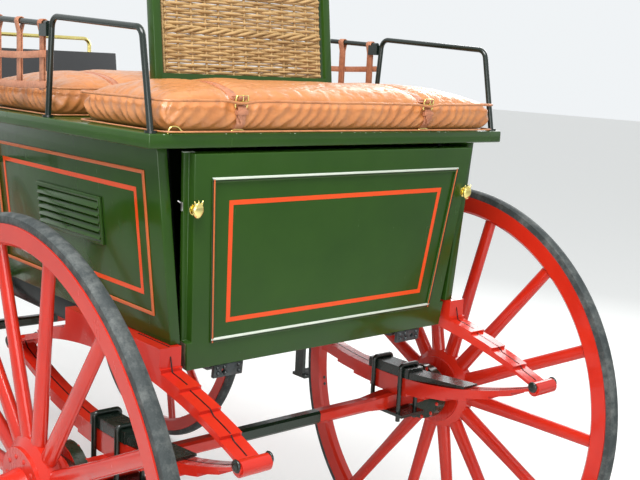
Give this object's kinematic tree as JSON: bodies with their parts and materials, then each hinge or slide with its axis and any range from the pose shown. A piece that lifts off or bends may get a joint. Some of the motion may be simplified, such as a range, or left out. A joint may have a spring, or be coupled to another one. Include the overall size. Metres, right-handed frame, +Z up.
{
  "type": "four-wheeled dog cart",
  "caption": "Horse-drawn sprung cart with a boxed body, back-to-back seats, a hinged tailboard, a steering forecarriage and shafts lowered to the ground.",
  "frame": {"origin": "on the ground at the middle of the cart's length and width, shafts included", "axes": "+X to the cart's right, +Y forwards to the horse, +Z up"},
  "size_m": [1.5, 4.2582, 1.7449],
  "materials": {
    "green_coachwork": "gloss coach enamel",
    "black_coachwork": "gloss coach enamel",
    "red_enamel": "gloss coach enamel",
    "red_enamel_hub": "gloss coach enamel",
    "dark_iron": "gloss enamel on forged iron",
    "solid_rubber": "dull",
    "bare_boards": "satin varnish",
    "tan_leather": "satin",
    "strap_leather": "satin",
    "black_leather": "patent gloss",
    "willow": "peeled willow",
    "brass_fittings": "polished"
  },
  "bodies": {
    "carriage": {"backrest_frame": "green_coachwork", "body_floor": "bare_boards", "body_side_left": "green_coachwork", "body_side_right": "green_coachwork", "bottom_sills": "black_coachwork", "corner_posts": "black_coachwork", "dashboard": "black_leather", "footwell_cheeks": "green_coachwork", "footwell_floor": "bare_boards", "front_cushion": "tan_leather", "heel_board": "green_coachwork", "hinge_lugs": "dark_iron", "kingpin": "dark_iron", "lamp_sockets": "dark_iron", "rear_axle": "red_enamel", "rear_cushion": "tan_leather", "rear_spring_clamps": "dark_iron", "rear_spring_left": "red_enamel", "rear_spring_right": "red_enamel", "rein_rail": "brass_fittings", "seat_board": "green_coachwork", "side_rail_left": "dark_iron", "side_rail_right": "dark_iron", "side_step_left": "dark_iron", "side_step_right": "dark_iron", "toe_board": "bare_boards", "upper_bed": "red_enamel", "upper_ring": "dark_iron", "whip_socket": "brass_fittings", "wicker_panel": "willow"},
    "forecarriage": {"front_axle": "red_enamel", "front_spring_right": "red_enamel", "front_spring_left": "red_enamel", "front_spring_clamps": "dark_iron", "lower_bed": "red_enamel", "lower_ring": "dark_iron", "futchells": "red_enamel", "splinter_bar": "red_enamel", "splinter_irons": "dark_iron"},
    "shafts": {"shaft_right": "red_enamel", "shaft_left": "red_enamel", "shaft_bar": "red_enamel", "shaft_irons": "dark_iron"},
    "tailboard": {"tailboard_panel": "green_coachwork", "tailboard_hinges": "dark_iron", "tailboard_knobs": "brass_fittings"},
    "rear_wheel_right": {"rear_wheel_right_tyre": "solid_rubber", "rear_wheel_right_spokes": "red_enamel", "rear_wheel_right_hub": "red_enamel_hub"},
    "rear_wheel_left": {"rear_wheel_left_tyre": "solid_rubber", "rear_wheel_left_spokes": "red_enamel", "rear_wheel_left_hub": "red_enamel_hub"},
    "front_wheel_right": {"front_wheel_right_tyre": "solid_rubber", "front_wheel_right_spokes": "red_enamel", "front_wheel_right_hub": "red_enamel_hub"},
    "front_wheel_left": {"front_wheel_left_tyre": "solid_rubber", "front_wheel_left_spokes": "red_enamel", "front_wheel_left_hub": "red_enamel_hub"}
  },
  "joints": [
    {"name": "steering", "type": "hinge", "parent": "carriage", "child": "forecarriage", "pos_m": [0, -0.11716, 0.86], "axis": [0, 0, 1], "range_deg": [-21, 21]},
    {"name": "shaft_hinge", "type": "hinge", "parent": "forecarriage", "child": "shafts", "pos_m": [0, 0.32284, 0.86671], "axis": [1, 0, 0], "range_deg": [0, 75]},
    {"name": "tailboard_hinge", "type": "hinge", "parent": "carriage", "child": "tailboard", "pos_m": [0, -1.71216, 0.812], "axis": [1, 0, 0], "range_deg": [-6.2, 83.8]},
    {"name": "rear_wheel_right_spin", "type": "hinge", "parent": "carriage", "child": "rear_wheel_right", "pos_m": [0.608, -1.56216, 0.56612], "axis": [0.9984, 0, -0.0558], "continuous": true},
    {"name": "rear_wheel_left_spin", "type": "hinge", "parent": "carriage", "child": "rear_wheel_left", "pos_m": [-0.608, -1.56216, 0.56612], "axis": [0.9984, 0, 0.0558], "continuous": true},
    {"name": "front_wheel_right_spin", "type": "hinge", "parent": "forecarriage", "child": "front_wheel_right", "pos_m": [0.6, -0.11716, 0.50421], "axis": [0.9984, 0, -0.0558], "continuous": true},
    {"name": "front_wheel_left_spin", "type": "hinge", "parent": "forecarriage", "child": "front_wheel_left", "pos_m": [-0.6, -0.11716, 0.50421], "axis": [0.9984, 0, 0.0558], "continuous": true}
  ]
}
